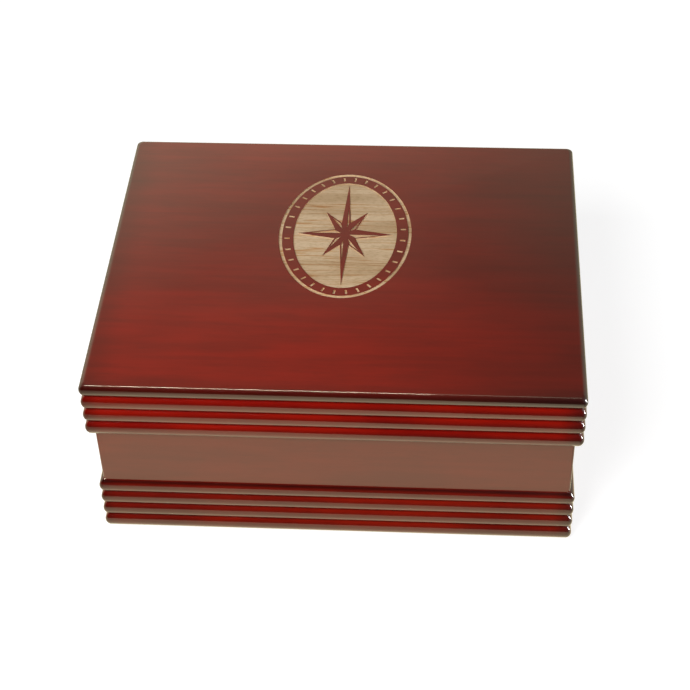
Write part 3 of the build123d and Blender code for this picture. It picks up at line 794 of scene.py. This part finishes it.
def panel_mesh(name, steps=14):
    """The top panel as one skin: its edge profile carried round the outline, closed by two flats.

    Below its widest line the edge is half a reed. Above it the edge is a quarter of an ellipse:
    inset = run * (1 - cos a), height = widest + drop * sin a.
    """
    radius = (REED_DEPTH**2 + reed_half**2) / (2 * REED_DEPTH)
    s = np.linspace(-reed_half, 0, steps)
    under_share = 1 - (np.sqrt(radius**2 - s**2) - (radius - REED_DEPTH)) / REED_DEPTH
    a = np.linspace(0, pi / 2, steps + 1)[1:]
    inset = np.concatenate([under_share * REED_DEPTH, TOP_EDGE_RUN * (1 - np.cos(a))])
    height = np.concatenate([widest + s, widest + (high.z - widest) * np.sin(a)])
    share = np.concatenate([under_share, 0 * a])
    # Painted shade on the edge: full from the widest line down, fading to none at the flat top.
    painted_edge_shade = np.concatenate([EDGE_PAINTED_SHADE + 0 * s, EDGE_PAINTED_SHADE * np.cos(a) ** 0.5])
    corner = CREST_CORNER + share * (GROOVE_CORNER - CREST_CORNER)
    turn = np.radians(np.concatenate([np.linspace(k * 90, k * 90 + 90, 9) for k in range(4)]))[:, None]
    side_x = np.repeat([1, -1, -1, 1], 9)[:, None]
    side_y = np.repeat([1, 1, -1, -1], 9)[:, None]
    x = side_x * (half_x - inset - corner) + corner * np.cos(turn)
    y = side_y * (half_y - inset - corner) + corner * np.sin(turn)
    points = np.stack([x, y, height + 0 * turn], axis=-1)
    rows, columns = points.shape[:2]
    quads = grid_quads(rows, columns, rows_close=True)
    under = [row * columns for row in range(rows - 1, -1, -1)]
    over = [row * columns + columns - 1 for row in range(rows)]
    mesh = bpy.data.meshes.new(name)
    mesh.from_pydata(points.reshape(-1, 3).tolist(), [], quads.tolist() + [under, over])
    mesh.attributes.new("groove", "FLOAT", "POINT").data.foreach_set("value", np.tile(painted_edge_shade, rows))
    mesh.shade_smooth()
    mesh.set_sharp_from_angle(angle=SHARP_ANGLE)
    return mesh


top_panel = placed("lid_top_panel_dressed", panel_mesh("lid_top_panel_dressed"))
top_wood = lacquered_wood("lacquered_top", "X", TOP_RED, TOP_MAROON, 5.3, TOP_TONE_RAMPS, TOP_FIGURE)
top_panel.data.materials.append(top_wood)

ENGRAVING_CENTRE, ENGRAVING_DEPTH = (0.0, 0.0165), 0.0005
OVAL = np.array([0.0290, 0.0420])
RING_LINE, FIELD_OFFSET, STAR_MARGIN = 0.0014, 0.0064, 0.0018
TICKS, TICK_OFFSET, TICK_SIZE = 32, 0.0036, (0.0024, 0.0009)
SHORT_TIP, WAIST, FACET_LINE = 0.62, 0.24, 0.00055
CUTTER_PROUD = 0.001


def oval_loop(offset, count=192):
    """Points round the oval drawn in by an offset: (half width * sin t, half height * cos t)."""
    t = np.linspace(0, 2 * pi, count, endpoint=False)[:, None]
    return (OVAL - offset) * np.concatenate([np.sin(t), np.cos(t)], axis=1)


def star_loop(count=192):
    """Points round the eight-pointed star. Between a tip and a waist the edge is straight, so at the
    angle t the reach is a * b * sin(w) / (a * sin(t) + b * sin(w - t)) for reaches a and b, w apart."""
    t = np.linspace(0, 2 * pi, count, endpoint=False)
    wedge = pi / 8
    step = np.floor(t / wedge + 1e-9).astype(int)
    reach = np.where(np.arange(17) % 2 == 1, WAIST, np.where(np.arange(17) % 4 == 0, 1.0, SHORT_TIP))
    a, b, past = reach[step % 16], reach[(step + 1) % 16], t - step * wedge
    out = a * b * np.sin(wedge) / (a * np.sin(past) + b * np.sin(wedge - past))
    return (OVAL - FIELD_OFFSET - STAR_MARGIN) * np.stack([out * np.sin(t), out * np.cos(t)], axis=1)


def ring_prism(outer, inner):
    """The quads and points of a closed ring between two loops of equal count, cut deep and left proud."""
    count = len(outer)
    loops = np.stack([outer, outer, inner, inner])
    heights = np.array([0, 1, 1, 0])[:, None] * (ENGRAVING_DEPTH + CUTTER_PROUD) + np.zeros(count)
    points = np.concatenate([loops, heights[..., None]], axis=-1).reshape(-1, 3)
    return points, grid_quads(4, count, rows_close=True, columns_close=True).tolist()


def prism(loop):
    """The points and faces of a straight prism over one convex loop."""
    count = len(loop)
    base = np.concatenate([loop, np.zeros((count, 1))], axis=1)
    points = np.concatenate([base, base + (0, 0, ENGRAVING_DEPTH + CUTTER_PROUD)])
    sides = [[k, (k + 1) % count, count + (k + 1) % count, count + k] for k in range(count)]
    return points, sides + [list(range(count - 1, -1, -1)), list(range(count, 2 * count))]


def engraved_wood(name):
    """Pale wood laid bare by the cutter: soft bands, short dark fibres and thin brown growth lines.

    A growth line runs where a noise stretched along X comes within a hair of its middle value.
    """
    made, tree, shader, place = new_material(name)
    nodes, link = tree.nodes, tree.links.new

    def streaks(scale_along, scale_across, detail):
        """Noise stretched along X."""
        return stretched_noise(tree, place, (scale_along, scale_across, scale_across), detail)

    def blend(factor, stops):
        """Colours along a factor, from (position, colour) stops."""
        ramp = nodes.new("ShaderNodeValToRGB")
        while len(ramp.color_ramp.elements) < len(stops):
            ramp.color_ramp.elements.new(0.5)
        for element, (position, colour) in zip(ramp.color_ramp.elements, stops):
            element.position, element.color = position, (*colour, 1)
        link(factor, ramp.inputs["Fac"])
        return ramp.outputs[0]

    def over(one, two):
        """The product of two colours."""
        mix = nodes.new("ShaderNodeMix")
        mix.data_type, mix.blend_type = "RGBA", "MULTIPLY"
        mix.inputs["Factor"].default_value = 1.0
        link(one, mix.inputs["A"])
        link(two, mix.inputs["B"])
        return mix.outputs["Result"]

    bands = blend(streaks(18, 130, 3), [(0.36, (0.60, 0.41, 0.235)), (0.62, (0.78, 0.58, 0.37))])
    line = (0.80, 0.58, 0.38)
    lines = blend(streaks(9, 260, 2), [(0.475, WHITE), (0.495, line), (0.505, line), (0.525, WHITE)])
    fibres = blend(streaks(500, 2600, 3), [(0.30, (0.80, 0.74, 0.66)), (0.52, WHITE)])
    link(over(over(bands, lines), fibres), shader.inputs["Base Color"])
    shader.inputs["Roughness"].default_value = 0.75
    shader.inputs["Specular IOR Level"].default_value = 0.25
    roughen(tree, shader.inputs["Normal"], streaks(120, 1800, 3), 0.35, 0.0002)
    return made


def engraving_cutter(name):
    """Everything engraved, as closed solids in one mesh: two rings, the tick marks and the cleared facets."""
    solids = [ring_prism(oval_loop(0), oval_loop(RING_LINE)),
              ring_prism(oval_loop(FIELD_OFFSET), star_loop())]
    half = np.array(TICK_SIZE) / 2
    square = np.array([(-1, -1), (1, -1), (1, 1), (-1, 1)]) * half
    for t in 2 * pi * (np.arange(TICKS) + 0.5) / TICKS:
        wide, tall = OVAL - TICK_OFFSET
        out = np.array([wide * np.sin(t) / wide**2, tall * np.cos(t) / tall**2])
        out /= np.linalg.norm(out)
        middle = (wide * np.sin(t), tall * np.cos(t))
        solids.append(prism(middle + square @ np.array([out, (-out[1], out[0])])))
    corners = star_loop(16)
    for tip in range(0, 16, 2):
        facet = np.array([(0.0, 0.0), corners[tip], corners[tip + 1]])
        sides = np.linalg.norm(np.roll(facet, -1, axis=0) - np.roll(facet, -2, axis=0), axis=1)
        centre = sides @ facet / sides.sum()
        inradius = sqrt(np.prod(sides.sum() / 2 - sides) / (sides.sum() / 2))
        solids.append(prism(centre + (1 - FACET_LINE / inradius) * (facet - centre)))
    points, faces, used = [], [], 0
    for some_points, some_faces in solids:
        points.append(some_points)
        faces += [[used + k for k in face] for face in some_faces]
        used += len(some_points)
    points = np.concatenate(points) + (*ENGRAVING_CENTRE, high.z - ENGRAVING_DEPTH)
    mesh = bpy.data.meshes.new(name)
    mesh.from_pydata(points.tolist(), [], faces)
    shape = bmesh.new()
    shape.from_mesh(mesh)
    bmesh.ops.recalc_face_normals(shape, faces=shape.faces)
    shape.to_mesh(mesh)
    shape.free()
    mesh.materials.append(engraved_wood("engraved_wood"))
    return placed(name, mesh)


cut_away(top_panel, engraving_cutter("engraving"))
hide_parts("lid_top_panel")
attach(top_panel, "lid")


# ---- Lid lining ----
# Velvet-wrapped strips inside the rails and a padded velvet panel under the top, glued in.
for side in SIDES:
    velvet_piece(f"lid_lining_{side}", "lid", 0.0008)
lid_pad = cushion("lid_pad_velvet", "lid_pad", glued=1, shrink=0.0006, cap=0.0012)
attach(lid_pad, "lid")
